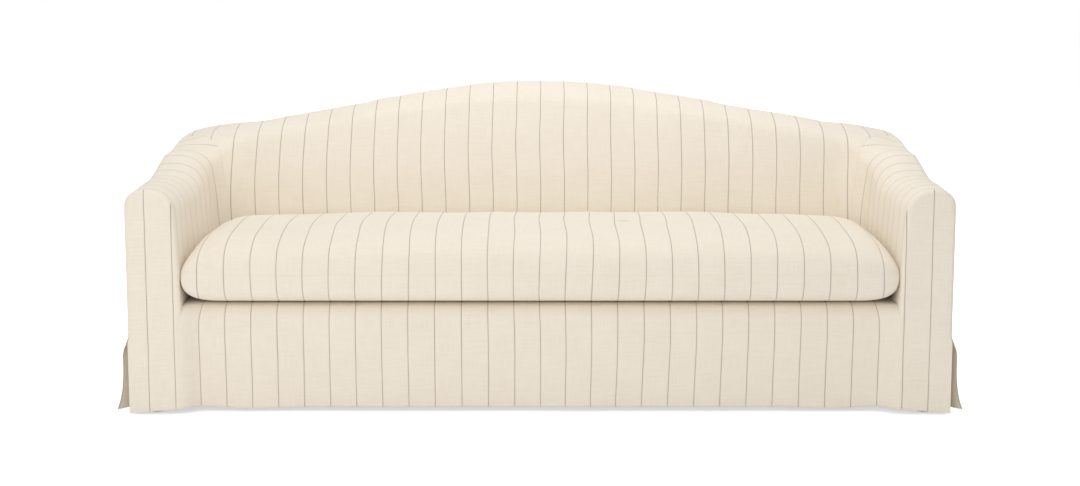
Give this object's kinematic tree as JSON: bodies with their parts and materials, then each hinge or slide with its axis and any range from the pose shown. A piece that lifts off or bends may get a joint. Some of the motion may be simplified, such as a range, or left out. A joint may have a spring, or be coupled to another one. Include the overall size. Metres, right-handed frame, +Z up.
{
  "type": "slipcovered sofa",
  "caption": "Camelback sofa with sloping arms, a removable striped linen slipcover down to the floor and a loose bench seat cushion over a sprung wood frame.",
  "frame": {"origin": "centre of the bounding box in plan, at floor level under the feet", "axes": "+X to the right along the seat as seen by someone facing the sofa, +Y toward the back, +Z up"},
  "size_m": [2.301, 0.991, 0.8389],
  "materials": {
    "striped_linen": "cream linen with thin dark running-stitch stripes",
    "fibre_felt": "pressed fibre",
    "padding": "muslin-covered foam",
    "jute_webbing": "woven strap",
    "dark_cloth": "plain cloth",
    "steel": "plain wire and plate",
    "dark_wood": "stained dark",
    "nylon": "matt",
    "frame_wood": "raw board"
  },
  "bodies": {
    "frame": {"arm_front_pads": "fibre_felt", "back_pad": "padding", "back_post_blocks": "frame_wood", "back_ribs": "frame_wood", "back_top_rail": "frame_wood", "back_webbing": "jute_webbing", "center_feet": "dark_wood", "corner_blocks": "frame_wood", "deck_pad": "padding", "dust_cover": "dark_cloth", "foot_bolts": "steel", "foot_glides": "nylon", "frame_screws": "steel", "front_edge_roll": "padding", "front_rail": "frame_wood", "front_rail_pad": "fibre_felt", "left_arm_pad": "padding", "left_arm_side_panel": "frame_wood", "left_arm_top_rail": "frame_wood", "left_back_post": "frame_wood", "left_front_foot": "dark_wood", "left_front_post": "frame_wood", "left_outer_arm_board": "frame_wood", "left_rear_foot": "dark_wood", "left_side_rail": "frame_wood", "left_stretcher": "frame_wood", "outer_back_board": "frame_wood", "rear_rail": "frame_wood", "right_arm_pad": "padding", "right_arm_side_panel": "frame_wood", "right_arm_top_rail": "frame_wood", "right_back_post": "frame_wood", "right_front_foot": "dark_wood", "right_front_post": "frame_wood", "right_outer_arm_board": "frame_wood", "right_rear_foot": "dark_wood", "right_side_rail": "frame_wood", "right_stretcher": "frame_wood", "seat_springs": "steel", "spring_clips": "steel", "spring_insulator": "fibre_felt", "spring_rail": "frame_wood", "spring_tie_wires": "steel"},
    "slipcover": {"slipcover_corner_pleats": "striped_linen", "slipcover_deck": "striped_linen", "slipcover_front_panel": "striped_linen", "slipcover_inside_back": "striped_linen", "slipcover_left_inside_arm": "striped_linen", "slipcover_left_outside_arm": "striped_linen", "slipcover_outside_back": "striped_linen", "slipcover_right_inside_arm": "striped_linen", "slipcover_right_outside_arm": "striped_linen"},
    "seat_cushion": {"cushion_bottom_panel": "striped_linen", "cushion_bottom_wrap": "fibre_felt", "cushion_core": "padding", "cushion_top_panel": "striped_linen", "cushion_top_wrap": "fibre_felt", "cushion_zip_tape": "dark_cloth"},
    "zip_slider": {"cushion_zip_slider": "steel"}
  },
  "joints": [
    {"name": "slipcover_lift", "type": "slide", "parent": "frame", "child": "slipcover", "axis": [0, 0, 1], "range_m": [0, 0.9]},
    {"name": "seat_cushion_lift", "type": "slide", "parent": "slipcover", "child": "seat_cushion", "axis": [0, 0, 1], "range_m": [0, 0.6]},
    {"name": "cushion_zip_slide", "type": "slide", "parent": "seat_cushion", "child": "zip_slider", "axis": [1, 0, 0], "range_m": [-1.47, 0]}
  ]
}
